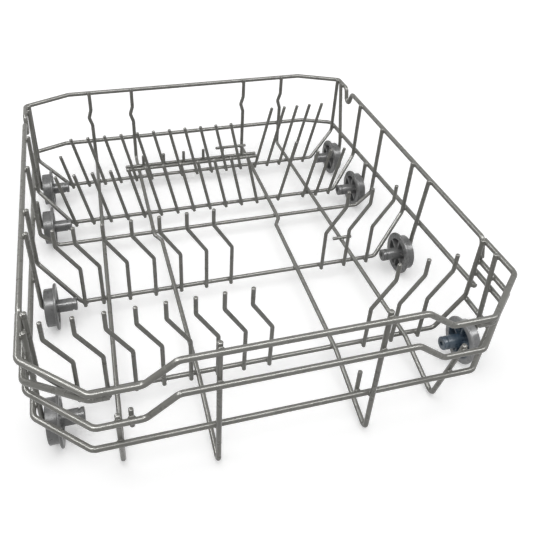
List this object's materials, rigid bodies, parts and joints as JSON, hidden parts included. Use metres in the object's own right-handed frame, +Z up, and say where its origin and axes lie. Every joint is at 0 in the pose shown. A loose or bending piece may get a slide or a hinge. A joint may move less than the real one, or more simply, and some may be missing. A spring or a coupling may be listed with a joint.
{
  "type": "dishwasher lower basket",
  "caption": "Welded grey-coated wire basket with leaning plate tines, cranked bowl tines, a stepped front wall and flanged wheels that roll on tracks.",
  "frame": {"origin": "centre of the basket's outline on the plane the wheels stand on", "axes": "+X to the right seen from the stepped front wall, +Y to the back, +Z up"},
  "size_m": [0.5082, 0.5785, 0.1773],
  "materials": {
    "coated_wire": "satin grey polymer coating",
    "wheel_plastic": "moulded, slightly glossy"
  },
  "bodies": {
    "basket": {"axle_wires": "coated_wire", "comb_bar": "coated_wire", "comb_stubs": "coated_wire", "comb_wires": "coated_wire", "corner_braces": "coated_wire", "cross_wire_front": "coated_wire", "cross_wire_middle": "coated_wire", "cross_wire_plain": "coated_wire", "cross_wire_plate_front": "coated_wire", "cross_wire_plate_rear": "coated_wire", "front_bottom_rail": "coated_wire", "front_middle_rail": "coated_wire", "front_tines_left": "coated_wire", "front_tines_right": "coated_wire", "front_top_rail": "coated_wire", "long_wire_inner_left": "coated_wire", "long_wire_inner_right": "coated_wire", "long_wire_outer_left": "coated_wire", "long_wire_outer_right": "coated_wire", "lower_ring": "coated_wire", "middle_tines_left": "coated_wire", "middle_tines_right": "coated_wire", "plate_tines_front_left": "coated_wire", "plate_tines_front_right": "coated_wire", "plate_tines_rear_left": "coated_wire", "plate_tines_rear_right": "coated_wire", "rail_stubs": "coated_wire", "rim_wire": "coated_wire", "stop_bar": "coated_wire"},
    "wheel_front_left_body": {"wheel_front_left": "wheel_plastic"},
    "wheel_front_right_body": {"wheel_front_right": "wheel_plastic"},
    "wheel_middle_left_body": {"wheel_middle_left": "wheel_plastic"},
    "wheel_middle_right_body": {"wheel_middle_right": "wheel_plastic"},
    "wheel_plate_front_left_body": {"wheel_plate_front_left": "wheel_plastic"},
    "wheel_plate_front_right_body": {"wheel_plate_front_right": "wheel_plastic"},
    "wheel_plate_rear_left_body": {"wheel_plate_rear_left": "wheel_plastic"},
    "wheel_plate_rear_right_body": {"wheel_plate_rear_right": "wheel_plastic"}
  },
  "joints": [
    {"name": "wheel_front_left_spin", "type": "hinge", "parent": "basket", "child": "wheel_front_left_body", "pos_m": [-0.235, -0.213, 0.0285], "axis": [1, 0, 0], "continuous": true},
    {"name": "wheel_front_right_spin", "type": "hinge", "parent": "basket", "child": "wheel_front_right_body", "pos_m": [0.235, -0.213, 0.0285], "axis": [1, 0, 0], "continuous": true},
    {"name": "wheel_middle_left_spin", "type": "hinge", "parent": "basket", "child": "wheel_middle_left_body", "pos_m": [-0.235, -0.05, 0.0285], "axis": [1, 0, 0], "continuous": true},
    {"name": "wheel_middle_right_spin", "type": "hinge", "parent": "basket", "child": "wheel_middle_right_body", "pos_m": [0.235, -0.05, 0.0285], "axis": [1, 0, 0], "continuous": true},
    {"name": "wheel_plate_front_left_spin", "type": "hinge", "parent": "basket", "child": "wheel_plate_front_left_body", "pos_m": [-0.235, 0.112, 0.0285], "axis": [1, 0, 0], "continuous": true},
    {"name": "wheel_plate_front_right_spin", "type": "hinge", "parent": "basket", "child": "wheel_plate_front_right_body", "pos_m": [0.235, 0.112, 0.0285], "axis": [1, 0, 0], "continuous": true},
    {"name": "wheel_plate_rear_left_spin", "type": "hinge", "parent": "basket", "child": "wheel_plate_rear_left_body", "pos_m": [-0.235, 0.21, 0.0285], "axis": [1, 0, 0], "continuous": true},
    {"name": "wheel_plate_rear_right_spin", "type": "hinge", "parent": "basket", "child": "wheel_plate_rear_right_body", "pos_m": [0.235, 0.21, 0.0285], "axis": [1, 0, 0], "continuous": true}
  ]
}
